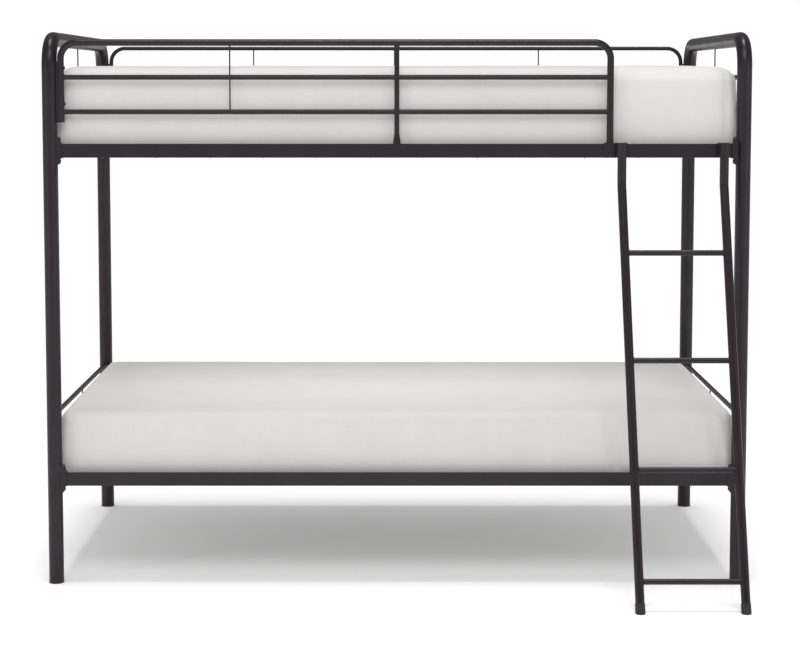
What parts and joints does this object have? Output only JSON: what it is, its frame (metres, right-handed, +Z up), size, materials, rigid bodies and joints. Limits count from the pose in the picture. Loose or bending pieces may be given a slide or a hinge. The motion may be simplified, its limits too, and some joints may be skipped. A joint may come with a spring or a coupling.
{
  "type": "bunk bed",
  "caption": "Metal bunk bed for single mattresses: tubular end frames, angle-iron side rails with slats, guards round the upper bunk, a slanted front ladder and loose mattresses.",
  "frame": {"origin": "on the floor, at the centre of the base of the bounding box, which takes in the ladder's feet", "axes": "+X along the bed's length towards the end with the ladder, +Y from the ladder's side to the back, +Z up"},
  "size_m": [1.9816, 1.3801, 1.5619],
  "materials": {
    "powder_coat": "satin",
    "fasteners": "satin",
    "black_plastic": "matte",
    "mattress_cover": "matte"
  },
  "bodies": {
    "frame": {"back_guard_bars": "powder_coat", "back_guard_hoop": "powder_coat", "back_guard_middle_post": "powder_coat", "back_guard_spacers": "powder_coat", "back_guard_spindles": "powder_coat", "back_left_post": "powder_coat", "back_right_post": "powder_coat", "front_guard_bars": "powder_coat", "front_guard_hoop": "powder_coat", "front_guard_middle_post": "powder_coat", "front_guard_pad": "powder_coat", "front_guard_spacers": "powder_coat", "front_guard_spindles": "powder_coat", "front_left_post": "powder_coat", "front_right_post": "powder_coat", "guard_post_bolts": "fasteners", "guard_post_nuts": "fasteners", "guard_rail_screws": "fasteners", "ladder_bolts": "fasteners", "ladder_couplers": "powder_coat", "ladder_foot_caps": "black_plastic", "ladder_left_hook": "powder_coat", "ladder_left_rail": "powder_coat", "ladder_left_top_tube": "powder_coat", "ladder_nuts": "fasteners", "ladder_right_hook": "powder_coat", "ladder_right_rail": "powder_coat", "ladder_right_top_tube": "powder_coat", "ladder_rung_1": "powder_coat", "ladder_rung_2": "powder_coat", "ladder_rung_3": "powder_coat", "ladder_rung_4": "powder_coat", "ladder_top_plugs": "black_plastic", "left_lower_end_bars": "powder_coat", "left_upper_end_bars": "powder_coat", "left_upper_hoop": "powder_coat", "lower_back_rail": "powder_coat", "lower_back_rail_saddles": "powder_coat", "lower_end_spindles": "powder_coat", "lower_front_rail": "powder_coat", "lower_front_rail_saddles": "powder_coat", "lower_slats": "powder_coat", "post_couplers": "powder_coat", "post_foot_caps": "black_plastic", "rail_bolts": "fasteners", "rail_nuts": "fasteners", "right_lower_end_bars": "powder_coat", "right_upper_end_bars": "powder_coat", "right_upper_hoop": "powder_coat", "slat_rivets": "fasteners", "upper_back_rail": "powder_coat", "upper_back_rail_saddles": "powder_coat", "upper_end_spindles": "powder_coat", "upper_front_rail": "powder_coat", "upper_front_rail_saddles": "powder_coat", "upper_slats": "powder_coat"},
    "upper_mattress": {"upper_mattress": "mattress_cover"},
    "lower_mattress": {"lower_mattress": "mattress_cover"}
  },
  "joints": [
    {"name": "upper_mattress_lift", "type": "slide", "parent": "frame", "child": "upper_mattress", "axis": [0, 0, 1], "range_m": [0, 0.36]},
    {"name": "lower_mattress_lift", "type": "slide", "parent": "frame", "child": "lower_mattress", "axis": [0, 0, 1], "range_m": [0, 0.35]}
  ]
}
